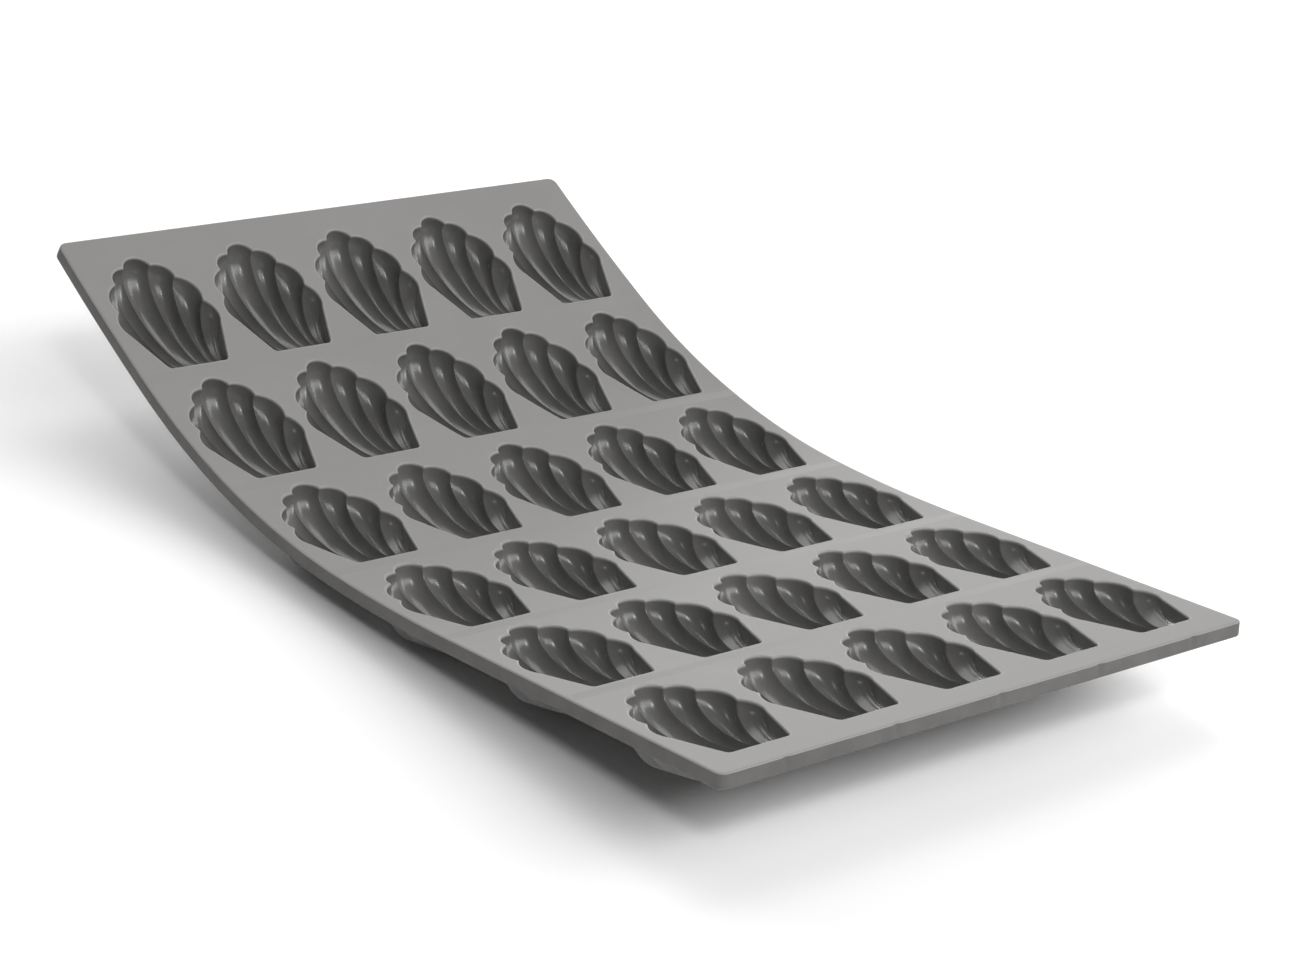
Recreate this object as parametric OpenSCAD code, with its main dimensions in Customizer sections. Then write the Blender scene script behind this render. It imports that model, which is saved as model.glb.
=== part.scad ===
// Flexible baking mould for thirty small shell-shaped cakes.
// The real mould is one silicone moulding that bends anywhere. It is built here as six rows
// of five cups, with a flex web between each two rows, and drawn as it lies in the
// photograph: the first two rows are flat and the others sweep up in a gentle curve.
// X runs across the rows, Y along the sheet towards the raised end, and Z up.
// The origin is on the table, under the middle of the mould.

/* [Sheet] */
// Width of the sheet, across the rows
sheet_w = 176; // [175:0.5:200]
// Thickness of the sheet between the cups
sheet_t = 4; // [3:0.1:4.5]
// Plain margin before the first row and after the last row
end_margin = 9; // [7:0.5:20]
// Radius of the four corners of the sheet
corner_r = 2.5; // [1:0.5:6]

/* [Rows] */
// Distance between the middles of two neighbouring cups in a row
pitch_x = 34.3; // [33:0.1:35]
// Distance between two neighbouring rows, along the sheet
pitch_y = 48; // [47.5:0.1:50]
// Length of each flex web, along the sheet
web_len = 3.2; // [2.8:0.1:3.8]

/* [Shell] */
// Depth of a shell at its deepest, below the top of the sheet
shell_d = 10.5; // [9:0.1:12]
// Thickness of a cup's wall at its bottom
wall_t = 1.8; // [1.2:0.1:2.5]
// Length of a shell, from its narrow end to the tip of its middle lobe
shell_l = 42; // [41:0.1:43]
// Half the width of the narrow end
narrow_half = 9.3; // [9:0.1:10]

/* [Bend] */
// Turn of the third row, in degrees
turn_3 = 5; // [0:0.5:8]
// Turn of the fourth row, in degrees
turn_4 = 11; // [6:0.5:12]
// Turn of the fifth row, in degrees
turn_5 = 12; // [6:0.5:14]
// Turn of the sixth row, in degrees
turn_6 = 4; // [1:0.5:8]

/* [Hidden] */
ROWS = 6;
COLS = 5;
web_gap = 0.005; // hair's breadth between a web and each panel beside it
SILICONE = [0.66, 0.655, 0.65];
CUP_SILICONE = [0.3, 0.3, 0.31];
$fn = 180;

// Bend of the sheet, as a chain of arcs: row, web, row, web and so on
// Turn of each row, from the flat end
ROW_TURN = [0, 0, turn_3, turn_4, turn_5, turn_6];
// Part of a row's panel that lies between its shells and the next web
bridge = (pitch_y - shell_l - web_len) / 2;
function row_len(r) = shell_l + (r == 1 || r == ROWS ? end_margin + bridge : 2 * bridge);
function row_turn(r) = ROW_TURN[r - 1];
// A web bends as much as the mean of the rows beside it
function web_turn(r) = web_len / 2 * (row_turn(r) / row_len(r) + row_turn(r + 1) / row_len(r + 1));
// Link 2r - 2 is row r, and link 2r - 1 is the web after it
function is_row(k) = k % 2 == 0;
function link_row(k) = floor(k / 2) + 1;
function link_len(k) = is_row(k) ? row_len(link_row(k)) : web_len;
function link_turn(k) = is_row(k) ? row_turn(link_row(k)) : web_turn(link_row(k));

// A step along an arc of length l that turns by a, from heading h, as [y, z]
function arc_step(l, a, h) =
    let (chord = a == 0 ? l : 2 * l / (a * PI / 180) * sin(a / 2))
    chord * [cos(h + a / 2), sin(h + a / 2)];
// Heading and start of each link, with the flat end level and its edge at zero
function level_heading(k) = k == 0 ? 0 : level_heading(k - 1) + link_turn(k - 1);
function level_start(k) =
    k == 0 ? [0, 0] : level_start(k - 1) + arc_step(link_len(k - 1), link_turn(k - 1), level_heading(k - 1));
// The point [y, z] of link k that lies s along it and d below the top of the sheet
function level_point(k, s, d) =
    let (a = link_turn(k) * s / link_len(k), h = level_heading(k))
    level_start(k) + arc_step(s, a, h) + d * [sin(h + a), -cos(h + a)];

// A row's link, and how far along it a point at y on the shell's outline lies
function cup_link(r) = 2 * r - 2;
function cup_s(r, y) = (r == 1 ? end_margin : bridge) + y;

// Outline of a shell, seen from above, with its narrow end on the X axis
// Points where two lobes meet, from the middle lobe outwards
MEET = [[4.15, 38.6], [9.4, 33.2], [13.4, 23.2]];
// Where the outer lobe runs into the straight side
side_top = [14.4, 14];
// The rounded corner of the narrow end
corner_side = [narrow_half + 0.6, 1.1];
// How far each lobe bulges out past the line between its ends
tip_rise = shell_l - MEET[0].y;
RISE = [2, 2.4, 1.6];

// n points from p towards q, without q, on an arc that bulges to the left by rise
function arc(p, q, rise, n) =
    let (c = norm(q - p), r = (c * c / 4 + rise * rise) / (2 * rise), half = asin(c / 2 / r))
    let (along = (q - p) / c, left = [-along.y, along.x], centre = (p + q) / 2 + left * (rise - r))
    [for (i = [0:n - 1]) let (a = half * (2 * i / n - 1)) centre + r * (left * cos(a) + along * sin(a))];
function mirrored(p) = [-p.x, p.y];
TIP = arc(mirrored(MEET[0]), MEET[0], tip_rise, 4);
// The rim of the right half, from the tip of the middle lobe round to the straight side
HALF_RIM = concat(
    [TIP[2], TIP[3]],
    arc(MEET[0], MEET[1], RISE[0], 3),
    arc(MEET[1], MEET[2], RISE[1], 3),
    arc(MEET[2], side_top, RISE[2], 2),
    [side_top]
);
LINES = len(HALF_RIM) - 1;
// Lines run down the shell from the rim to the narrow end, numbered outwards from the middle
function rim_point(i) = i < 0 ? mirrored(HALF_RIM[-i]) : HALF_RIM[i];
outer_foot = narrow_half - 0.3;
meet_line = 8; // the line where the two outer lobes meet
function foot_x(i) =
    let (n = abs(i), inner = outer_foot - 0.6)
    sign(i) * (n <= meet_line ? inner * n / meet_line : inner + (outer_foot - inner) * (n - meet_line) / 2);
// A point on line i at share t of the way from the rim to the narrow end
function line_point(i, t) = rim_point(i) * (1 - t) + [foot_x(i), 0] * t;

// Depth of each line as a share of the shell's depth: the ridges between lobes stand higher
FLUTE = [1, 0.95, 0.78, 0.96, 0.93, 0.7, 0.88, 0.86, 0.66, 0.54, 0.34];
// The same for the underside, which is smoother and has a flat foot in the middle
UNDER = [1, 1, 1, 0.98, 0.95, 0.9, 0.87, 0.82, 0.72, 0.6, 0.5];
foot_line = 2; // the last line at full depth
foot_from = 0.22; // the foot lies between two shares of a line
foot_to = 0.55;
// The shell's depth along a line, from 0 at the rim to 1 in the middle and 0 at the narrow end
function hollow(t) = sqrt(sin(180 * pow(t, 0.8)));
INNER_T = [0.12, 0.42, 0.86];
OUTER_T = [foot_from, foot_to, 0.88];
function inner_depth(i, t) = shell_d * FLUTE[abs(i)] * hollow(t);
function outer_depth(i, t) = wall_t + shell_d * UNDER[abs(i)] * (t <= foot_to ? 1 : hollow(t));

// The mould rocks back until it stands on the feet of rows three and four: on the far edge of
// the one and on the near edge of the other, where that is widest
foot_d = shell_d + wall_t;
function foot_point(r, i, share) = level_point(cup_link(r), cup_s(r, line_point(i, share).y), foot_d);
stand_a = foot_point(3, 0, foot_from);
stand_b = foot_point(4, foot_line, foot_to);
tilt = -atan2(stand_b.y - stand_a.y, stand_b.x - stand_a.x);
function tilted(p) = [p.x * cos(tilt) - p.y * sin(tilt), p.x * sin(tilt) + p.y * cos(tilt)];
last = cup_link(ROWS);
near_y = min(0, tilted(level_point(0, 0, sheet_t)).x);
far_y = max(tilted(level_point(last, link_len(last), 0)).x, tilted(level_point(last, link_len(last), sheet_t)).x);
base = [(near_y + far_y) / 2, tilted(stand_a).y];

function start(k) = tilted(level_start(k)) - base;
function heading(k) = level_heading(k) + tilt;
function point(k, s, d) = tilted(level_point(k, s, d)) - base;

// A cup as one closed solid. Its points are rings of lines, from the rim inwards and out again:
// rim, inner stations, narrow edge, the same narrow edge under the sheet, outer stations, and
// the rim under the sheet. Four corner points follow.
line_ids = [-LINES:LINES];
ring_n = 2 * LINES + 1;
rim_xy = [for (i = line_ids) rim_point(i)];
edge_xy = [for (i = line_ids) [foot_x(i), 0]];
corner_xy = [mirrored(corner_side), [-narrow_half, 0], corner_side, [narrow_half, 0]];

// Direction of the sheet at the middle of a row's shells
function cup_heading(r) =
    heading(cup_link(r)) + link_turn(cup_link(r)) * cup_s(r, shell_l / 2) / link_len(cup_link(r));
// A point of a cup, given from above as p and by its depth under the curved sheet
function bent(r, x, p, d) = let (q = point(cup_link(r), cup_s(r, p.y), d)) [x + p.x, q.x, q.y];
// The same rim point where the cup's wall comes out under the sheet
function under(r, x, p) =
    let (h = cup_heading(r))
    bent(r, x, p, 0) + sheet_t * [0, sin(h), -cos(h)];

function cup_points(r, x) = concat(
    [for (p = rim_xy) bent(r, x, p, 0)],
    [for (t = INNER_T, i = line_ids) bent(r, x, line_point(i, t), inner_depth(i, t))],
    [for (p = edge_xy) bent(r, x, p, 0)],
    [for (p = edge_xy) under(r, x, p)],
    [for (k = [len(OUTER_T) - 1:-1:0], i = line_ids)
        bent(r, x, line_point(i, OUTER_T[k]), outer_depth(i, OUTER_T[k]))],
    [for (p = rim_xy) under(r, x, p)],
    [for (p = corner_xy) bent(r, x, p, 0)],
    [for (p = corner_xy) under(r, x, p)]
);

ring_count = len(INNER_T) + len(OUTER_T) + 4;
edge_top = len(INNER_T) + 1;
edge_under = edge_top + 1;
rim_under = ring_count - 1;
corner_top = ring_count * ring_n;
corner_under = corner_top + len(corner_xy);
function at(ring, j) = ring * ring_n + j;
// The two triangles of a four-sided patch
function quad(a, b, c, d) = [[a, b, c], [a, c, d]];
function flat(lists) = [for (list = lists) each list];
// Triangles that close a corner, from its corner point to the ends of the rings beside it
function fan(apex, ids) = [for (k = [0:len(ids) - 2]) [apex, ids[k], ids[k + 1]]];
inner_ends = [for (ring = [0:edge_top]) at(ring, 0)];
outer_ends = [for (ring = [edge_under:rim_under]) at(ring, 0)];
function shifted(ids, by) = [for (k = ids) k + by];
function reversed(ids) = [for (k = [len(ids) - 1:-1:0]) ids[k]];
cup_faces = flat([
    // the fluted inside and the smoother underside
    flat([for (ring = [0:edge_top - 1], j = [0:ring_n - 2])
        quad(at(ring, j), at(ring, j + 1), at(ring + 1, j + 1), at(ring + 1, j))]),
    flat([for (ring = [edge_under:rim_under - 1], j = [0:ring_n - 2])
        quad(at(ring, j), at(ring, j + 1), at(ring + 1, j + 1), at(ring + 1, j))]),
    // the upright wall through the sheet, along the narrow edge and round the lobes
    flat([for (j = [0:ring_n - 2])
        quad(at(edge_top, j), at(edge_top, j + 1), at(edge_under, j + 1), at(edge_under, j))]),
    flat([for (j = [0:ring_n - 2])
        quad(at(rim_under, j), at(rim_under, j + 1), at(0, j + 1), at(0, j))]),
    // the left corner, then the right one
    fan(corner_top, inner_ends),
    [[corner_top, at(edge_top, 0), corner_top + 1]],
    fan(corner_under, outer_ends),
    [[corner_under, corner_under + 1, at(edge_under, 0)]],
    quad(corner_top, corner_top + 1, corner_under + 1, corner_under),
    quad(corner_top + 1, at(edge_top, 0), at(edge_under, 0), corner_under + 1),
    quad(at(0, 0), corner_top, corner_under, at(rim_under, 0)),
    fan(corner_top + 2, reversed(shifted(inner_ends, ring_n - 1))),
    [[corner_top + 2, corner_top + 3, at(edge_top, ring_n - 1)]],
    fan(corner_under + 2, reversed(shifted(outer_ends, ring_n - 1))),
    [[corner_under + 2, at(edge_under, ring_n - 1), corner_under + 3]],
    quad(corner_top + 3, corner_top + 2, corner_under + 2, corner_under + 3),
    quad(at(edge_top, ring_n - 1), corner_top + 3, corner_under + 3, at(edge_under, ring_n - 1)),
    quad(corner_top + 2, at(0, ring_n - 1), at(rim_under, ring_n - 1), corner_under + 2)
]);

function col_x(c) = (c - (COLS + 1) / 2) * pitch_x;

// Cup number c of row r
module cup(r, c) {
    color(CUP_SILICONE) polyhedron(cup_points(r, col_x(c)), cup_faces, convexity = 6);
}

// A stretch of the sheet, bent like link k. It stops short of both ends of the link by gap
module band(k, gap = 0) {
    span = link_len(k);
    turn = link_turn(k);
    translate([0, start(k).x, start(k).y])
        rotate([heading(k), 0, 0])
            if (turn == 0) {
                translate([-sheet_w / 2, gap, -sheet_t]) cube([sheet_w, span - 2 * gap, sheet_t]);
            } else {
                radius = span / (turn * PI / 180);
                translate([0, 0, radius])
                    rotate([turn * gap / span, 0, 0])
                        rotate([0, 90, 0])
                            rotate_extrude(angle = turn * (1 - 2 * gap / span))
                                translate([radius, -sheet_w / 2]) square([sheet_t, sheet_w]);
            }
}

// The outline of a row's shells, in the plane that touches the row at the middle of its shells
function hole_outline(r) =
    let (h = cup_heading(r), mid = bent(r, 0, [0, shell_l / 2], 0))
    let (rim = [for (p = concat(rim_xy, [corner_side, [narrow_half, 0]], reversed(edge_xy),
        [[-narrow_half, 0], mirrored(corner_side)])) bent(r, 0, p, 0) - mid])
    [for (p = rim) [p.x, p.y * cos(h) + p.z * sin(h)]];

// The cutters that open a row's panel for its five cups
module cup_holes(r) {
    mid = bent(r, 0, [0, shell_l / 2], 0);
    for (c = [1:COLS])
        translate([col_x(c), mid.y, mid.z])
            rotate([cup_heading(r), 0, 0])
                translate([0, 0, -2 * sheet_t])
                    linear_extrude(height = 3 * sheet_t) polygon(hole_outline(r));
}

// A point of the round corner of the sheet, seen from its end, at angle a along the arc
function corner_point(a) = corner_r * [1 - cos(a), 1 - sin(a)];
// What is cut away there, in three flats. The outer two run on past the edges of the sheet
CORNER_CUT = [
    2 * corner_point(0) - corner_point(30),
    corner_point(30),
    corner_point(60),
    2 * corner_point(90) - corner_point(60),
    [-corner_r, -corner_r]
];

// The cutters that round the two corners at one end of the sheet
module corner_cuts() {
    for (side = [-1, 1])
        translate([side * sheet_w / 2, 0, -2 * sheet_t])
            linear_extrude(height = 3 * sheet_t)
                polygon([for (p = CORNER_CUT) [-side * p.x, p.y]]);
}

// The sheet round the cups of row r
module row_panel(r) {
    k = cup_link(r);
    end_heading = heading(k) + link_turn(k);
    end = point(k, link_len(k), 0);
    color(SILICONE)
        difference() {
            band(k);
            cup_holes(r);
            if (r == 1)
                translate([0, start(k).x, start(k).y]) rotate([heading(k), 0, 0]) corner_cuts();
            if (r == ROWS)
                translate([0, end.x, end.y]) rotate([end_heading, 0, 0]) rotate([0, 0, 180]) corner_cuts();
        }
}

// The strip that bends between row r and the next
module flex_web(r) {
    color(SILICONE) band(2 * r - 1, web_gap);
}

for (r = [1:ROWS])
    row_panel(r);
for (r = [1:ROWS - 1])
    flex_web(r);
for (r = [1:ROWS], c = [1:COLS])
    cup(r, c);
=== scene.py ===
"""Looks of a flexible silicone mould for thirty small shell-shaped cakes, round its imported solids.

The sheet lies as in the photograph: its near end about flat, its far end held up in a gentle curve.
Every piece is first drawn flat, in millimetres, with Z = 0 on top of the sheet. It is then laid on
its stretch of the bent sheet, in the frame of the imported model, which is in metres.
"""

from math import asin, atan2, cos, exp, pi, radians, sin, tan

import bmesh
import bpy
import numpy as np
from bpy.props import FloatProperty, FloatVectorProperty, PointerProperty
from mathutils import Matrix, Vector


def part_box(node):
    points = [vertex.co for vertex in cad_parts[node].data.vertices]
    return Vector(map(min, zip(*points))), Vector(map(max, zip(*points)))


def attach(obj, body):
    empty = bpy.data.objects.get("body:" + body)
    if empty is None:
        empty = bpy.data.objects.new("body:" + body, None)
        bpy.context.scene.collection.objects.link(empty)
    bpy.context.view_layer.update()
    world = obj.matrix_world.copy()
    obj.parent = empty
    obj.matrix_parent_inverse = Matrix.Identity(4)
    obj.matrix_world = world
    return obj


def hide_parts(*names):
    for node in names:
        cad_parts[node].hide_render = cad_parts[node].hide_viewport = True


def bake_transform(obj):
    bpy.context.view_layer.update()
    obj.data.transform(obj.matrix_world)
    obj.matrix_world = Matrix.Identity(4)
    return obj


bl_info = {
    "name": "Shell cake mould",
    "version": (1, 0, 0),
    "blender": (4, 5, 0),
    "location": "View3D > Sidebar > Mould",
    "description": "Dresses the packed silicone mould with fluted shells, soft rims and silicone finishes",
    "category": "Object",
}

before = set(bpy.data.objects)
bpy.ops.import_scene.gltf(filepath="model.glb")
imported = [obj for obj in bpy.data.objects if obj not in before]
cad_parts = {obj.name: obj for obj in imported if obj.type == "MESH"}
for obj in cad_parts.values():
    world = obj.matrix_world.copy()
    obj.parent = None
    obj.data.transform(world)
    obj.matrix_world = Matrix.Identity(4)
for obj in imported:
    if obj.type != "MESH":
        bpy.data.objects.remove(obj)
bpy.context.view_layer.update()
MM = 0.001
# Points of a flat drawing that are nearer than this many millimetres are one point
WELD = 1e-4
# Faces that meet at more than this angle keep a sharp edge between them
CREASE = radians(62)

# The sheet, as in the part's source: lengths in millimetres, and turns in degrees from the near row on
ROWS, COLS = 6, 5
SHEET_W, SHEET_T = 176.0, 4.0
END_MARGIN, WEB_LEN = 9.0, 3.2
CORNER_R = 2.5
PITCH_X, PITCH_Y = 34.3, 48.0
SHELL_L, NARROW_HALF = 42.0, 9.3
BRIDGE = (PITCH_Y - SHELL_L - WEB_LEN) / 2
ROW_TURN = (0, 0, 5, 11, 12, 4)
NEAR_HEADING = radians(-6.6884)


class Stretch:
    """A row or a web of the bent sheet: where it starts, how long it is and how far it turns."""

    def __init__(self, y, z, heading, length, turn):
        self.y, self.z, self.heading, self.length, self.turn = y, z, heading, length, turn

    def place(self, flat):
        """Lays flat points on the bend: y runs along the stretch and z rises from the top of the sheet."""
        x, s, up = np.asarray(flat, float).reshape(-1, 3).T
        along = self.turn * s / self.length
        chord = s * np.sinc(along / 2 / pi)
        middle = self.heading + along / 2
        end = self.heading + along
        y = self.y + chord * np.cos(middle) - up * np.sin(end)
        z = self.z + chord * np.sin(middle) + up * np.cos(end)
        return MM * np.stack([x, y, z], 1)

    def point(self, s, up=0.0):
        """The place in the frame of a point in the middle of the sheet's width."""
        return Vector(self.place((0.0, s, up))[0])


def row_length(row):
    return SHELL_L + (END_MARGIN + BRIDGE if row in (1, ROWS) else 2 * BRIDGE)


def row_start(row):
    """How far along its row the narrow ends of a row's shells lie."""
    return END_MARGIN if row == 1 else BRIDGE


def sheet_stretches():
    """Rows and webs by number, from the near end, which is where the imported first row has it."""
    low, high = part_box("row_1_panel")
    y = low.y / MM - SHEET_T * sin(NEAR_HEADING)
    z = high.z / MM
    heading = NEAR_HEADING
    rows, webs = {}, {}
    for row in range(1, ROWS + 1):
        turn = radians(ROW_TURN[row - 1])
        steps = [(rows, row_length(row), turn)]
        if row < ROWS:
            rate = turn / row_length(row) + radians(ROW_TURN[row]) / row_length(row + 1)
            steps.append((webs, WEB_LEN, WEB_LEN / 2 * rate))
        for kept, length, bend in steps:
            kept[row] = Stretch(y, z, heading, length, bend)
            end = kept[row].point(length) / MM
            y, z, heading = end.y, end.z, heading + bend
    return rows, webs


ROW, WEB = sheet_stretches()

# Outline of a shell, seen from above, with its narrow end on the X axis, as in the part's source:
# where its lobes meet, where the straight side starts, how far the lobes bulge, and the narrow corners
MEET = ((4.15, 38.6), (9.4, 33.2), (13.4, 23.2))
SIDE_TOP = (14.4, 14.0)
RISE = (2.0, 2.4, 1.6)
NARROW_R = 1.3
# Where the ridges reach the narrow edge
RIDGE_FOOT = (2.0, 5.15, 7.9)
# Points along the tip, a lobe, the leaf's whole bulge, the part of it that is used, a side and a corner
TIP_POINTS, LOBE_POINTS, BULGE_POINTS, LEAF_POINTS, SIDE_POINTS, CORNER_POINTS = 24, 20, 28, 20, 14, 8
# How far the bends of the rim are rounded off, and the bends of the line that its lip follows
RIM_SOFT, LIP_SOFT = 0.28, 0.75
# The step in which that rounding works along the line
SOFT_STEP = 0.05

# Depth of the ridges between the lobes, and of the flutes' floors, from the middle outwards,
# as a share of the shell's depth
RIDGE = (0.7, 0.61, 0.62)
FLOOR = (1.0, 0.97, 0.88)
# A flute between two ridges is a parabola to this power
FLUTE_ROUND = 0.9
# The leaf beyond the last ridge rises with this power of the distance to the side
LEAF_ROUND = 0.3
# How a shell's lines fall from rim to floor: the power of the way along them, and of the sine of that
TIP_LEAN, HOLLOW_FALL, UNDER_FALL = 0.8, 0.5, 0.6
# The underside is smoother than the hollow, and has a flat foot between two shares of its lines
UNDER_AT = (0, 0.98, 1.34, 1.67, 2, 2.34, 2.67, 3, 3.2, 3.45, 3.9, 4)
UNDER = (1, 1, 0.98, 0.95, 0.9, 0.87, 0.82, 0.72, 0.62, 0.54, 0.44, 0.2)
FOOT_FROM, FOOT_TO = 0.22, 0.55
# Rows of faces along the lines of the hollow and of the underside, and round a quarter of the lip
HOLLOW_ROWS, UNDER_ROWS, LIP_STEPS = 44, 26, 6


def arc(p, q, rise, shares):
    """Points from p to q on an arc that bulges to the left by rise, at shares of the way."""
    p, q = np.array(p), np.array(q)
    reach = np.linalg.norm(q - p)
    radius = (reach * reach / 4 + rise * rise) / (2 * rise)
    half = asin(reach / 2 / radius)
    along = (q - p) / reach
    left = np.array([-along[1], along[0]])
    centre = (p + q) / 2 + left * (rise - radius)
    turns = half * (2 * np.asarray(shares) - 1)
    return centre + radius * (np.outer(np.cos(turns), left) + np.outer(np.sin(turns), along))


def crowded(n):
    """n shares of the way from 0 up to 1, closer together near both ends."""
    even = np.arange(n) / n
    return 0.3 * even + 0.35 * (1 - np.cos(pi * even))


def softened(loop, spread):
    """A closed line of points with its bends rounded off, and which way is out at each point."""
    step = SOFT_STEP
    gaps = np.linalg.norm(np.roll(loop, -1, 0) - loop, axis=1)
    at = np.concatenate([[0], np.cumsum(gaps)])
    fine = np.arange(0, at[-1], step)
    closed = np.vstack([loop, loop[:1]])
    line = np.stack([np.interp(fine, at, closed[:, k]) for k in (0, 1)], 1)
    reach = int(4 * spread / step)
    brush = np.exp(-(((np.arange(-reach, reach + 1) * step) / spread) ** 2) / 2)
    padded = np.vstack([line[-reach:], line, line[:reach]])
    soft = np.stack([np.convolve(padded[:, k], brush / brush.sum(), "valid") for k in (0, 1)], 1)
    ahead = np.roll(soft, -1, 0) - np.roll(soft, 1, 0)
    out = np.stack([-ahead[:, 1], ahead[:, 0]], 1)
    out /= np.linalg.norm(out, axis=1)[:, None]
    back = [np.stack([np.interp(at[:-1], fine, field[:, k], period=at[-1]) for k in (0, 1)], 1)
            for field in (soft, out)]
    return back[0], back[1] / np.linalg.norm(back[1], axis=1)[:, None]


class Outline:
    """Rim and narrow edge of a shell. Column j of the shell's lines runs from rim[j] to foot[j].

    across[j] says where the line starts: whole numbers are the ridges, counted outwards from the middle,
    with the middle of the tip at half a lobe inside the first."""

    def __init__(self):
        ends = list(MEET) + [SIDE_TOP]
        tip = crowded(TIP_POINTS)[TIP_POINTS // 2:]
        points = [arc((-MEET[0][0], MEET[0][1]), MEET[0], SHELL_L - MEET[0][1], tip)]
        across = [tip * 2 - 1]
        for number in (1, 2):
            shares = crowded(LOBE_POINTS)
            points.append(arc(ends[number - 1], ends[number], RISE[number - 1], shares))
            across.append(number + shares)
        bulge = crowded(BULGE_POINTS)
        points.append(arc(ends[2], ends[3], RISE[2], bulge[:LEAF_POINTS] / bulge[LEAF_POINTS]))
        slope = atan2(SIDE_TOP[1], SIDE_TOP[0] - NARROW_HALF)
        cut = NARROW_R / tan((pi - slope) / 2)
        side_end = np.array([NARROW_HALF, 0.0]) + cut * np.array([cos(slope), sin(slope)])
        points.append(np.linspace(SIDE_TOP, side_end, SIDE_POINTS, endpoint=False))
        centre = np.array([NARROW_HALF - cut, NARROW_R])
        angles = np.linspace(slope - pi / 2, -pi / 2, CORNER_POINTS)
        points.append(centre + NARROW_R * np.stack([np.cos(angles), np.sin(angles)], 1))
        outer = np.concatenate(points[3:])
        far = np.concatenate([[0], np.cumsum(np.linalg.norm(np.diff(outer, axis=0), axis=1))])
        across.append(3 + far / far[-1])
        right, across = np.concatenate(points), np.concatenate(across)
        foot_x = np.interp(across, (0, 1, 2, 3, 4), (0, *RIDGE_FOOT, NARROW_HALF - cut))
        mirror = np.array([-1.0, 1.0])
        rim = np.vstack([(right * mirror)[:0:-1], right])
        self.across = np.concatenate([across[:0:-1], across])
        foot_x = np.concatenate([-foot_x[:0:-1], foot_x])
        foot = np.stack([foot_x, 0 * foot_x], 1)
        self.columns = len(rim) - 1
        loop = np.vstack([rim, foot[-2:0:-1]])
        flip = (self.columns - np.arange(len(loop))) % len(loop)
        self.loop, self.out = ((line + line[flip] * mirror) / 2 for line in
                               (softened(loop, RIM_SOFT)[0], softened(loop, LIP_SOFT)[1]))
        self.rim = self.loop[:len(rim)]
        self.foot = np.vstack([self.loop[:1], self.loop[:self.columns - 1:-1]])
        # how far inside the rim the middle of each line lies
        middles = (self.rim + self.foot) / 2
        self.inward = np.linalg.norm(middles[:, None] - self.rim[None], axis=2).min(1)
        self.ridge_inward = self.inward[np.argmin(abs(self.across - 3))]


OUTLINE = Outline()


def ridge_and_flute(across, size):
    """Depth of a line as a share of the shell's, at its middle: round troughs between narrow ridges."""
    lift = size.ridge_height
    ridges = [1 - lift * (1 - ridge) for ridge in (RIDGE[0], *RIDGE)]
    level = np.interp(across, (0, 1, 2, 3), ridges)
    lobe = int(across)
    share = (across - lobe) if lobe else (across + 1) / 2
    trough = (4 * share * (1 - share)) ** FLUTE_ROUND
    middle = np.interp(lobe + 0.5, (0, 1, 2, 3), ridges)
    return level + (FLOOR[lobe] - middle) * trough


def leaf_depth(column, size):
    """The same beyond the last ridge, where the shell rises a little and then steeply to its side."""
    ridge = 1 - size.ridge_height * (1 - RIDGE[2])
    return ridge * min(1.0, OUTLINE.inward[column] / OUTLINE.ridge_inward) ** LEAF_ROUND


def hollow(share):
    """A shell's depth along a line, from 0 at the rim to 1 in the middle and 0 at the narrow end."""
    return np.sin(pi * np.minimum(share, 1.0) ** TIP_LEAN).clip(0) ** HOLLOW_FALL


def body(share):
    """The same for the underside, with a flat foot."""
    if share < FOOT_FROM:
        return sin(pi / 2 * share / FOOT_FROM) ** UNDER_FALL
    if share > FOOT_TO:
        return max(0.0, cos(pi / 2 * (share - FOOT_TO) / (1 - FOOT_TO))) ** UNDER_FALL
    return 1.0


def eased(rows):
    """Shares of the way from 0 to 1, closer together at both ends."""
    return [(1 - cos(pi * row / rows)) / 2 for row in range(rows + 1)]


def moved_grid(bm, columns, rows, place):
    """A grid in bm whose points are moved to place(column, row)."""
    made = bmesh.ops.create_grid(bm, x_segments=columns, y_segments=rows, size=1.0)["verts"]
    for n, vert in enumerate(made):
        vert.co = place(n % (columns + 1), n // (columns + 1))
    return {face for vert in made for face in vert.link_faces}


def quarter(steps):
    """Offset and depth along a quarter circle of radius 1, from lying flat to hanging down."""
    turns = [pi / 2 * step / steps for step in range(steps + 1)]
    return [(1 - sin(turn), 1 - cos(turn)) for turn in turns]


def lip_points(size):
    """The line where a shell's lip leaves the flat sheet."""
    return OUTLINE.loop + size.lip / MM * OUTLINE.out


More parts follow.
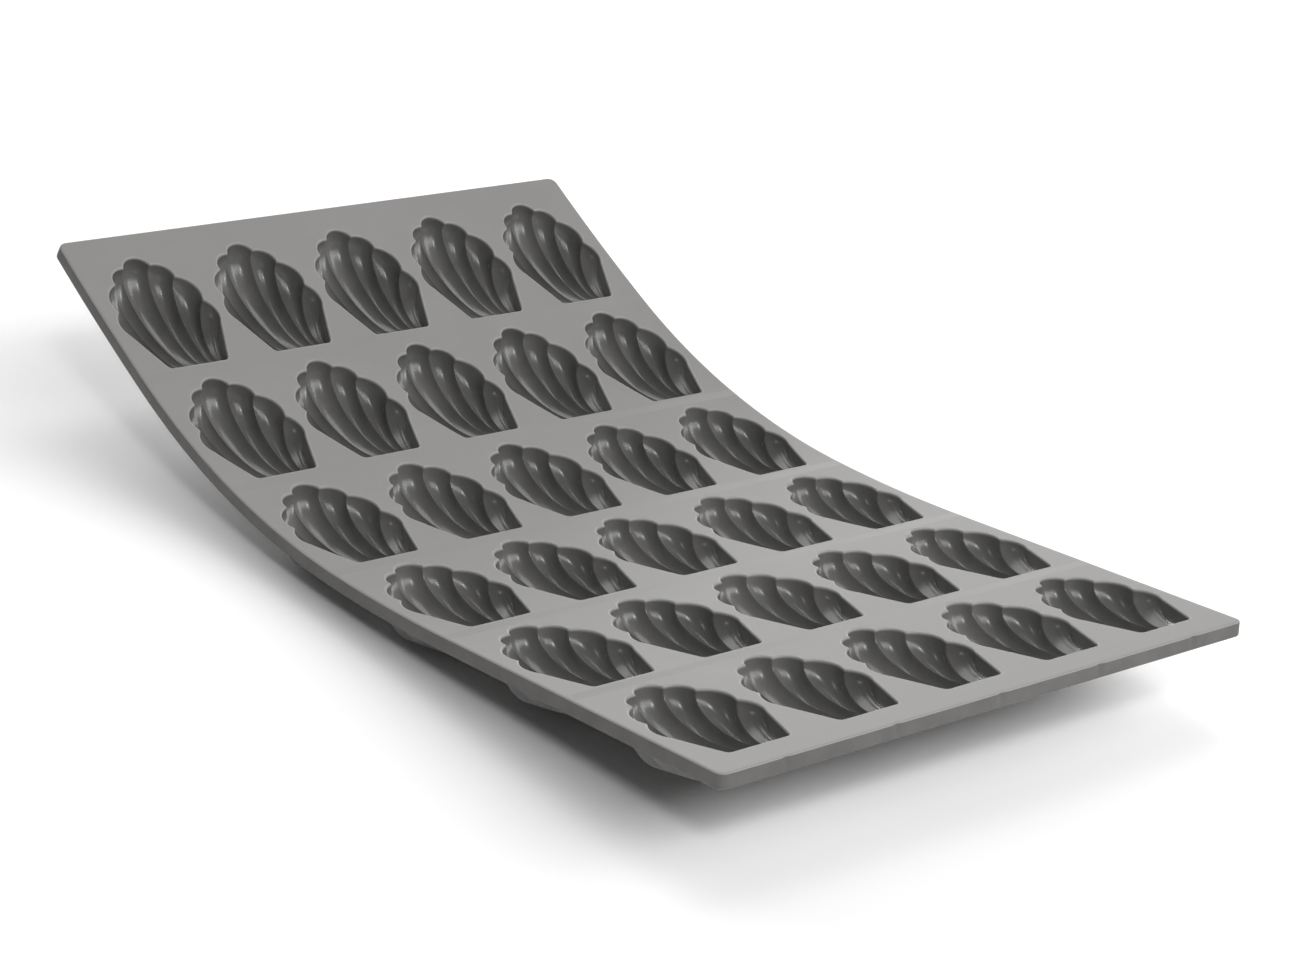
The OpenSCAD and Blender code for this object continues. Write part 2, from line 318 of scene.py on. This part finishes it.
def flat_shell(size):
    """One shell as a closed solid, drawn flat: fluted hollow, rounded lip, upright side and underside."""
    bm = bmesh.new()
    lip = size.lip / MM
    deep, wall = size.depth / MM, size.wall / MM
    ahead, under = eased(HOLLOW_ROWS), eased(UNDER_ROWS)
    shares = [leaf_depth(column, size) if across >= 3 else ridge_and_flute(across, size)
              for column, across in enumerate(OUTLINE.across)]

    def inside(column, row):
        share = ahead[row]
        x, y = OUTLINE.rim[column] * (1 - share) + OUTLINE.foot[column] * share
        return x, y, -lip - max(0.0, deep * shares[column] - lip) * hollow(share)

    moved_grid(bm, OUTLINE.columns, HOLLOW_ROWS, inside)
    under_shares = np.interp(OUTLINE.across, UNDER_AT, UNDER)
    top = SHEET_T + lip

    def outside(column, row):
        share = under[row]
        x, y = OUTLINE.rim[column] * (1 - share) + OUTLINE.foot[column] * share
        reach = wall + deep * under_shares[column] - top
        return x, y, -top - max(0.0, reach) * body(share)

    outer = moved_grid(bm, OUTLINE.columns, UNDER_ROWS, outside)
    bend = quarter(LIP_STEPS)
    profile = [(lip * out, -lip * down) for out, down in reversed(bend)]
    profile += [(lip * out, -SHEET_T - lip * down) for out, down in bend]
    around = len(OUTLINE.loop)

    def side(column, row):
        out, z = profile[row]
        x, y = OUTLINE.loop[column % around] + out * OUTLINE.out[column % around]
        return x, y, z

    ring = moved_grid(bm, around, len(profile) - 1, side)
    for face in outer | ring:
        face.material_index = 1
    for face in ring:
        if face.calc_center_median().z > -lip:
            face.material_index = 0
    return closed_mesh(bm, "flat_shell")


def closed_mesh(bm, name):
    """Welds, turns the faces outwards and smooths a flat drawing, with creases only at square edges."""
    bmesh.ops.remove_doubles(bm, verts=bm.verts, dist=WELD)
    bmesh.ops.recalc_face_normals(bm, faces=bm.faces)
    open_edges = [edge for edge in bm.edges if not edge.is_manifold]
    if open_edges:
        raise RuntimeError(f"{name} is not closed: {len(open_edges)} open edges")
    if bm.calc_volume(signed=True) < 0:
        bmesh.ops.reverse_faces(bm, faces=bm.faces)
    for face in bm.faces:
        face.smooth = True
    mesh = bpy.data.meshes.new(name)
    bm.to_mesh(mesh)
    bm.free()
    mesh.set_sharp_from_angle(angle=CREASE)
    return mesh


def cell_edge():
    """For each point of a shell's lip line, the point straight outwards on the edge of its cell."""
    low = np.array([-PITCH_X / 2, -BRIDGE])
    high = np.array([PITCH_X / 2, SHELL_L + BRIDGE])
    # a point from which the lines to the cell's edge fan out evenly
    centre = np.array([0.0, SHELL_L / 2 - 0.5])
    way = OUTLINE.loop - centre
    reach = np.min(np.where(way > 0, (high - centre) / np.maximum(way, 1e-9),
                            (low - centre) / np.minimum(way, -1e-9)), axis=1)
    edge = centre + way * reach[:, None]
    for corner in ((low[0], low[1]), (high[0], low[1]), (low[0], high[1]), (high[0], high[1])):
        edge[np.argmin(np.linalg.norm(edge - corner, axis=1))] = corner
    return edge


# The rounding of the sheet's edge, and how far inside the edge its lines of points run
EDGE_R = 0.45
EDGE_LINES = (0.45, 0.28, 0.13, 0.035, 0.0)
# More lines of points, inside the sides and inside the two ends
SIDE_LINES, END_LINES = (1.3,), (5.5, 3.6, 2.5, 2.0, 1.5, 0.95)
# Lines of points between a cell's edge, at share 1, and its lip, at share 0: above and below
ABOVE, BELOW = (1, 0.72, 0.46, 0.24, 0.09, 0), (0, 0.3, 0.65, 1)
# Rows of faces along a web
WEB_ROWS = 16
# Small dents in the near edge, one before each column, where the moulding was trimmed:
# half width, depth and reach
TRIM_HALF, TRIM_CUT, TRIM_REACH = 1.2, 0.4, 1.6


def edge_drop(inward):
    """How far the rounded edge lies under the sheet's top at a distance inside it."""
    return EDGE_R - (EDGE_R ** 2 - max(0.0, EDGE_R - inward) ** 2) ** 0.5


def trim_dent(x, inward):
    """How far the top of the near edge is dented at x, and at a distance inside the edge."""
    aside = x - PITCH_X * round(x / PITCH_X)
    return TRIM_CUT * exp(-((aside / TRIM_HALF) ** 2)) * max(0.0, 1 - inward / TRIM_REACH)


def widen(bm, axis, start, stops):
    """Extrudes the open edges that lie at start on an axis, out to each of the stops in turn."""
    for stop in stops:
        edges = [edge for edge in bm.edges
                 if edge.is_boundary and all(abs(vert.co[axis] - start) < 1e-3 for vert in edge.verts)]
        made = bmesh.ops.extrude_edge_only(bm, edges=edges)["geom"]
        for item in made:
            if isinstance(item, bmesh.types.BMVert):
                item.co[axis] = stop
        start = stop


def flat_panel(row, size):
    """The sheet round the shells of a row as a closed solid, drawn flat."""
    bm = bmesh.new()
    lips, edge = lip_points(size), cell_edge()
    steps = [(share, 0) for share in ABOVE] + [(share, -SHEET_T) for share in BELOW]
    around = len(lips)
    for col in range(COLS):
        middle = (col - (COLS - 1) / 2) * PITCH_X

        def cell(column, line):
            share, z = steps[line]
            x, y = lips[column % around] * (1 - share) + edge[column % around] * share
            return x + middle, y, z

        moved_grid(bm, around, len(steps) - 1, cell)
    bmesh.ops.remove_doubles(bm, verts=bm.verts, dist=WELD)
    half = SHEET_W / 2
    side = [half - inward for inward in (*SIDE_LINES, *EDGE_LINES)]
    widen(bm, 0, COLS * PITCH_X / 2, side)
    widen(bm, 0, -COLS * PITCH_X / 2, [-x for x in side])
    end = None
    if row in (1, ROWS):
        start = -BRIDGE if row == 1 else SHELL_L + BRIDGE
        way = -1 if row == 1 else 1
        end = -END_MARGIN if row == 1 else SHELL_L + END_MARGIN
        widen(bm, 1, start, [end - way * inward for inward in (*END_LINES, *EDGE_LINES)])
    for vert in bm.verts:
        x, y, z = vert.co
        # how far into the square of a rounded corner the point lies, from 0 to 1 each way
        a = max(0.0, (abs(x) - half + CORNER_R) / CORNER_R)
        inward = half - abs(x)
        if end is not None:
            b = max(0.0, 1 - abs(end - y) / CORNER_R)
            inward = min(inward, abs(end - y))
            if row == 1 and z > -SHEET_T / 2:
                vert.co.y += trim_dent(x, abs(end - y))
            if a > 0 and b > 0:
                shrink = 1 - max(a, b) / (a * a + b * b) ** 0.5
                vert.co.x -= (1 if x > 0 else -1) * a * CORNER_R * shrink
                vert.co.y += way * -b * CORNER_R * shrink
        if inward < EDGE_R:
            vert.co.z += edge_drop(inward) * (-1 if z > -SHEET_T / 2 else 1)
    bmesh.ops.bridge_loops(bm, edges=[item for item in bm.edges if item.is_boundary])
    return closed_mesh(bm, f"flat_panel_{row}")


def flat_web():
    """A strip of the sheet between two rows, drawn flat."""
    bm = bmesh.new()
    half = SHEET_W / 2
    top = [(half - inward, -edge_drop(inward)) for inward in EDGE_LINES]
    profile = [(-x, z) for x, z in reversed(top)] + top
    profile += [(x, -SHEET_T - z) for x, z in reversed(profile)]

    def strip(column, row):
        x, z = profile[column % len(profile)]
        return x, WEB_LEN * row / WEB_ROWS, z

    moved_grid(bm, len(profile), WEB_ROWS, strip)
    bmesh.ops.remove_doubles(bm, verts=bm.verts, dist=WELD)
    bmesh.ops.holes_fill(bm, edges=[edge for edge in bm.edges if edge.is_boundary], sides=0)
    return closed_mesh(bm, "flat_web")


def laid(flat, stretch, name, x=0.0, start=0.0):
    """A copy of a flat drawing, laid on a stretch of the sheet, as an object at the origin."""
    mesh = flat.copy()
    mesh.name = name
    points = np.zeros(len(mesh.vertices) * 3, np.float32)
    mesh.vertices.foreach_get("co", points)
    points = points.reshape(-1, 3)
    depth = mesh.attributes.new("depth", "FLOAT", "POINT")
    depth.data.foreach_set("value", -points[:, 2] * MM)
    points = stretch.place(points + np.array([x, start, 0.0]))
    mesh.vertices.foreach_set("co", points.astype(np.float32).ravel())
    mesh.update()
    piece = bpy.data.objects.new(name, mesh)
    bpy.context.scene.collection.objects.link(piece)
    return piece


class Value:
    """One socket of a material's nodes. Arithmetic on it adds Math nodes."""

    def __init__(self, finish, socket):
        self.finish, self.socket = finish, socket

    def maths(self, operation, *others):
        return self.finish.node("ShaderNodeMath", {"operation": operation}, self, *others)

    def __add__(self, other):
        return self.maths("ADD", other)

    def __sub__(self, other):
        return self.maths("SUBTRACT", other)

    def __rsub__(self, other):
        return self.finish.node("ShaderNodeMath", {"operation": "SUBTRACT"}, other, self)

    def __mul__(self, other):
        return self.maths("MULTIPLY", other)

    __radd__ = __add__
    __rmul__ = __mul__


class Finish:
    """A procedural material under construction, with the Principled shader at its end."""

    def __init__(self, name):
        self.material = bpy.data.materials.new(name)
        self.material.use_nodes = True
        self.tree = self.material.node_tree
        self.shader = self.tree.nodes["Principled BSDF"]
        self.place = self.node("ShaderNodeTexCoord", {}, output="Object")

    def node(self, kind, settings, *values, output=0, **named):
        """Adds a node, sets it, and fills its sockets in order or by name. Gives one of its outputs."""
        node = self.tree.nodes.new(kind)
        for key, value in settings.items():
            setattr(node, key, value)
        pairs = list(zip(node.inputs, values))
        pairs += [(node.inputs[key.replace("_", " ")], value) for key, value in named.items()]
        for socket, value in pairs:
            self.fill(socket, value)
        return Value(self, node.outputs[output])

    def fill(self, socket, value):
        if isinstance(value, Value):
            self.tree.links.new(value.socket, socket)
        elif value is not None:
            socket.default_value = value

    def noise(self, size, detail=2.0, roughness=0.5):
        """Soft noise from 0 to 1 whose patches are about size metres across."""
        return self.node("ShaderNodeTexNoise", {}, self.place, None, 0.5 / size, detail, roughness)

    def step(self, value, low, high):
        """0 below low, 1 above high and smooth between."""
        return self.node("ShaderNodeMapRange", {"interpolation_type": "SMOOTHSTEP"},
                         value, low, high, 0.0, 1.0)

    def mix(self, share, first, second):
        """A colour between two."""
        node = self.tree.nodes.new("ShaderNodeMix")
        node.data_type = "RGBA"
        self.fill(node.inputs[0], share)
        self.fill(node.inputs[6], first)
        self.fill(node.inputs[7], second)
        return Value(self, node.outputs[2])

    def attribute(self, name):
        return self.node("ShaderNodeAttribute", {"attribute_name": name}, output="Fac")

    def bump(self, height, strength, distance):
        return self.node("ShaderNodeBump", {}, strength, distance, Height=height)

    def surface(self, **sockets):
        for key, value in sockets.items():
            self.fill(self.shader.inputs[key.replace("_", " ")], value)
        return self.material


def tone(colour, by):
    """A colour made lighter or darker, for a node's socket."""
    return (colour[0] * by, colour[1] * by, colour[2] * by, 1.0)


def sheet_finish(colours):
    """Matte light grey of the sheet's top, faintly mottled, with a fine dry grain, and a painted highlight
    that makes its rounded edges paler.
    """
    finish = Finish("matte_sheet_silicone")
    light = colours.sheet
    patches = finish.noise(0.016, 3.0, 0.55)
    warm = finish.noise(0.007, 2.0)
    grain = finish.noise(0.00045, 2.0, 0.6)
    base = finish.mix(finish.step(patches, 0.3, 0.7), tone(light, 0.965), tone(light, 1.03))
    tint = (light[0] * 1.03, light[1] * 1.0, light[2] * 0.955, 1.0)
    base = finish.mix(finish.step(warm, 0.45, 0.75) * 0.6, base, tint)
    base = finish.mix(finish.step(grain, 0.55, 0.8) * 0.35, base, tone(light, 0.86))
    # the rounded edges lie a few hundredths of a millimetre under the top; there they are painted paler, a
    # painted highlight where the edge catches the light
    painted_edge_highlight = finish.step(finish.attribute("depth"), 0.00002, 0.00016)
    base = finish.mix(painted_edge_highlight * 0.8, base, tone(light, 1.3))
    relief = finish.bump(grain, 0.25, 0.00006)
    return finish.surface(Base_Color=base, Roughness=0.62 + (patches - 0.5) * 0.15, Normal=relief,
                          Specular_IOR_Level=0.35)


def hollow_finish(colours):
    """The shells: a painted highlight makes the lip paler than the sheet's matte grey, and it gives way to
    dark, satin silicone.
    """
    finish = Finish("satin_shell_silicone")
    light, dark = colours.sheet, colours.hollow
    inside = finish.step(finish.attribute("depth"), 0.00018, 0.0009)
    cloud = finish.noise(0.009, 3.0, 0.6)
    grain = finish.noise(0.0004, 2.0, 0.6)
    deep = finish.mix(finish.step(cloud, 0.3, 0.7), tone(dark, 0.86), tone(dark, 1.14))
    # painted highlight: the lip round each rim is painted paler than the sheet, then darkens into the hollow
    base = finish.mix(inside, tone(light, 1.18), deep)
    relief = finish.bump(grain, 0.12, 0.00004)
    gloss = 0.6 - inside * 0.34 + (cloud - 0.5) * 0.06
    return finish.surface(Base_Color=base, Roughness=gloss, Normal=relief)


def under_finish(colours):
    """Back of the mould: a smooth, even mid grey with a faint bloom."""
    finish = Finish("smooth_underside_silicone")
    grey = colours.under
    cloud = finish.noise(0.02, 3.0, 0.55)
    grain = finish.noise(0.0005, 2.0, 0.6)
    base = finish.mix(finish.step(cloud, 0.3, 0.7), tone(grey, 0.93), tone(grey, 1.06))
    return finish.surface(Base_Color=base, Roughness=0.5 + (cloud - 0.5) * 0.2,
                          Normal=finish.bump(grain, 0.15, 0.00005))


def edge_finish(colours):
    """Side edge of the sheet, where it comes off the mould's parting line: a little browner and drier, and
    darker by painted shade, as the side faces turn away from the lights.
    """
    finish = Finish("painted_shade_edge_silicone")
    # painted shade: the edge's grey is set far darker than the sheet's
    grey = colours.edge
    streak = finish.noise(0.004, 4.0, 0.6)
    base = finish.mix(finish.step(streak, 0.3, 0.7), tone(grey, 0.9), tone(grey, 1.08))
    return finish.surface(Base_Color=base, Roughness=0.6, Normal=finish.bump(streak, 0.2, 0.0001))


class MouldSizes(bpy.types.PropertyGroup):
    """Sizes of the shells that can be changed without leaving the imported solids."""

    depth: FloatProperty(name="Depth",
                         description="Depth of a shell at its deepest, below the top of the sheet",
                         default=0.0105, min=0.008, max=0.012, unit="LENGTH", subtype="DISTANCE")
    wall: FloatProperty(name="Wall", description="Thickness of a shell's wall at its foot",
                        default=0.0018, min=0.001, max=0.003, unit="LENGTH", subtype="DISTANCE")
    lip: FloatProperty(name="Lip", description="Radius that rounds the rim of each shell",
                       default=0.0006, min=0.0003, max=0.0007, unit="LENGTH", subtype="DISTANCE")
    ridge_height: FloatProperty(name="Ridges", description="Height of the ridges between the flutes",
                                default=1.0, min=0.3, max=1.4, subtype="FACTOR")


class MouldColours(bpy.types.PropertyGroup):
    """Colours of the silicone, as linear values."""

    sheet: FloatVectorProperty(name="Sheet", description="Matte grey of the sheet's top",
                               subtype="COLOR", default=(0.235, 0.231, 0.227), min=0, max=1)
    hollow: FloatVectorProperty(name="Shells", description="Dark satin grey inside the shells",
                                subtype="COLOR", default=(0.13, 0.1275, 0.125), min=0, max=1)
    under: FloatVectorProperty(name="Underside", description="Grey of the back of the mould",
                               subtype="COLOR", default=(0.15, 0.147, 0.145), min=0, max=1)
    # painted shade: the side edge's grey is darker than the sheet's
    edge: FloatVectorProperty(name="Edge", description="Grey of the sheet's side edge",
                              subtype="COLOR", default=(0.11, 0.107, 0.102), min=0, max=1)


def kept_material(name, make):
    """The material of that name, made when it is first asked for."""
    return bpy.data.materials.get(name) or make(bpy.context.scene.mould_colours)


def sheet_materials():
    """Top, underside and edges of the sheet, in the order that sheet_faces gives them."""
    return (kept_material("matte_sheet_silicone", sheet_finish),
            kept_material("smooth_underside_silicone", under_finish),
            kept_material("painted_shade_edge_silicone", edge_finish))


def fit_out(piece, slot, node, *finishes):
    """Gives a piece its materials and hides the imported part of the node that it stands for; its slot is
    not used.
    """
    for finish in finishes:
        piece.data.materials.append(finish)
    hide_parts(node)


# A face whose normal leans further from the sheet's than this cosine belongs to the edge
SLANT = 0.35


def sheet_faces(mesh, stretch):
    """Gives the top, the underside and the edges of a laid piece of sheet their materials: 0, 1 and 2."""
    normals = np.zeros(len(mesh.polygons) * 3, np.float32)
    centres = np.zeros(len(mesh.polygons) * 3, np.float32)
    mesh.polygons.foreach_get("normal", normals)
    mesh.polygons.foreach_get("center", centres)
    normals, centres = normals.reshape(-1, 3), centres.reshape(-1, 3)
    middle = stretch.heading + stretch.turn / 2
    up = normals @ np.array([0.0, -sin(middle), cos(middle)])
    index = np.where(up > SLANT, 0, np.where(up < -SLANT, 1, 2))
    mesh.polygons.foreach_set("material_index", index.astype(np.int32))


class MOULD_OT_shells(bpy.types.Operator):
    """Make the thirty fluted shells with their rounded lips"""

    bl_idname = "mould.shells"
    bl_label = "Shells"

    def execute(self, context):
        flat = flat_shell(context.scene.mould_sizes)
        inside = kept_material("satin_shell_silicone", hollow_finish)
        under = kept_material("smooth_underside_silicone", under_finish)
        for row in range(1, ROWS + 1):
            for col in range(1, COLS + 1):
                x = (col - (COLS + 1) / 2) * PITCH_X
                piece = laid(flat, ROW[row], f"shell_{row}_{col}", x, row_start(row))
                fit_out(piece, "cup", f"cup_{row}_{col}", inside, under)
                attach(piece, f"row_{row}")
        bpy.data.meshes.remove(flat)
        return {"FINISHED"}


class MOULD_OT_panels(bpy.types.Operator):
    """Make the sheet round the shells of each row, with its softly rounded outer edges"""

    bl_idname = "mould.panels"
    bl_label = "Sheet round the shells"

    def execute(self, context):
        size = context.scene.mould_sizes
        finishes = sheet_materials()
        for row in range(1, ROWS + 1):
            flat = flat_panel(row, size)
            piece = laid(flat, ROW[row], f"sheet_row_{row}", 0.0, row_start(row))
            sheet_faces(piece.data, ROW[row])
            fit_out(piece, "sheet", f"row_{row}_panel", *finishes)
            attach(piece, f"row_{row}")
            bpy.data.meshes.remove(flat)
        return {"FINISHED"}


class MOULD_OT_webs(bpy.types.Operator):
    """Make the strips between the rows, each laid bent through its share of the rows' turn"""

    bl_idname = "mould.webs"
    bl_label = "Flex webs"

    def execute(self, context):
        flat = flat_web()
        finishes = sheet_materials()
        for web in range(1, ROWS):
            piece = laid(flat, WEB[web], f"web_{web}_{web + 1}")
            sheet_faces(piece.data, WEB[web])
            fit_out(piece, "sheet", f"flex_web_{web}_{web + 1}", *finishes)
            middle = -SHEET_T / 2
            WEB[web].point(0.0, middle)
            WEB[web].point(WEB_LEN, middle)
            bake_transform(piece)
        bpy.data.meshes.remove(flat)
        return {"FINISHED"}


# The photograph's camera, fitted to the corners and the cups: place, and directions right, down and ahead
CAMERA_AT = (-0.514769, -0.582028, 0.349257)
CAMERA_WAYS = ((0.76735, -0.63075, 0.11548), (-0.16588, -0.36923, -0.91441), (0.61941, 0.68251, -0.38796))
PHOTO_W, FOCAL_PIXELS, SENSOR = 1300, 3138.745, 36.0
FLOOR_HALF = 6.0
WORLD_STRENGTH = 0.06
# Name, azimuth from +X and height in degrees, distance, size in metres and power in watts
LIGHTS = (
    ("back_softbox", 80, 34, 1.3, (1.3, 0.7), 6.6),
    ("overhead", 50, 64, 1.3, (0.8, 0.7), 4.6),
    ("right_softbox", -35, 34, 1.3, (1.0, 0.6), 8.7),
    ("front_fill", -92, 40, 1.3, (1.2, 0.5), 7.9),
    ("backdrop_glow", 60, 9, 1.3, (1.5, 0.24), 11.3),
    ("lamp_over_camera", -128, 42, 1.2, (0.12, 0.22), 2.8),
    ("lamp_at_left", 162, 13, 1.2, (0.08, 0.08), 0.6),
)


def studio_light(name, azimuth, height, distance, size, power):
    """A soft light that faces the mould."""
    data = bpy.data.lights.new(name, "AREA")
    data.shape = "RECTANGLE"
    data.size, data.size_y = size
    data.energy = power
    flat = cos(radians(height))
    away = Vector((cos(radians(azimuth)) * flat, sin(radians(azimuth)) * flat, sin(radians(height))))
    light = bpy.data.objects.new(name, data)
    facing = away.to_track_quat("Z", "Y").to_matrix().to_4x4()
    light.matrix_world = Matrix.Translation(away * distance) @ facing
    bpy.context.scene.collection.objects.link(light)


class MOULD_OT_stage(bpy.types.Operator):
    """Set up the pale floor, the soft studio light and the photograph's camera"""

    bl_idname = "mould.stage"
    bl_label = "Stage"

    def execute(self, context):
        scene = context.scene
        bm = bmesh.new()
        bmesh.ops.create_grid(bm, x_segments=8, y_segments=8, size=FLOOR_HALF)
        mesh = bpy.data.meshes.new("studio_floor")
        bm.to_mesh(mesh)
        bm.free()
        floor = bpy.data.objects.new("studio_floor", mesh)
        scene.collection.objects.link(floor)
        paint = Finish("pale_floor")
        white = paint.mix(paint.noise(0.4, 2.0), (0.93, 0.93, 0.93, 1), (0.95, 0.95, 0.95, 1))
        mesh.materials.append(paint.surface(Base_Color=white, Roughness=0.9, Specular_IOR_Level=0.1))
        world = bpy.data.worlds.new("studio")
        world.use_nodes = True
        background = world.node_tree.nodes["Background"]
        background.inputs["Color"].default_value = (1, 1, 1, 1)
        background.inputs["Strength"].default_value = WORLD_STRENGTH
        scene.world = world
        scene.view_settings.view_transform = "Standard"
        for light in LIGHTS:
            studio_light(*light)
        data = bpy.data.cameras.new("photo_camera")
        data.sensor_width, data.sensor_fit = SENSOR, "HORIZONTAL"
        data.lens = SENSOR * FOCAL_PIXELS / PHOTO_W
        data.clip_start, data.clip_end = 0.01, 100
        camera = bpy.data.objects.new("photo_camera", data)
        right, down, ahead = (Vector(way).normalized() for way in CAMERA_WAYS)
        turn = Matrix((right, -down, -ahead)).transposed().to_4x4()
        camera.matrix_world = Matrix.Translation(CAMERA_AT) @ turn
        scene.collection.objects.link(camera)
        scene.camera = camera
        return {"FINISHED"}


class MOULD_PT_panel(bpy.types.Panel):
    """Sizes, colours and the steps that make the mould"""

    bl_idname = "MOULD_PT_panel"
    bl_label = "Shell cake mould"
    bl_space_type = "VIEW_3D"
    bl_region_type = "UI"
    bl_category = "Mould"

    def draw(self, context):
        for group in (context.scene.mould_sizes, context.scene.mould_colours):
            for key in group.__annotations__:
                self.layout.prop(group, key)
        for step in STEPS:
            self.layout.operator(step.bl_idname)


STEPS = (MOULD_OT_shells, MOULD_OT_panels, MOULD_OT_webs, MOULD_OT_stage)
CLASSES = (MouldSizes, MouldColours, *STEPS, MOULD_PT_panel)


def register():
    for cls in CLASSES:
        bpy.utils.register_class(cls)
    bpy.types.Scene.mould_sizes = PointerProperty(type=MouldSizes)
    bpy.types.Scene.mould_colours = PointerProperty(type=MouldColours)


def unregister():
    del bpy.types.Scene.mould_colours
    del bpy.types.Scene.mould_sizes
    for cls in reversed(CLASSES):
        bpy.utils.unregister_class(cls)


def main():
    register()
    bpy.ops.mould.shells()
    bpy.ops.mould.panels()
    bpy.ops.mould.webs()
    bpy.ops.mould.stage()


if __name__ == "__main__":
    main()
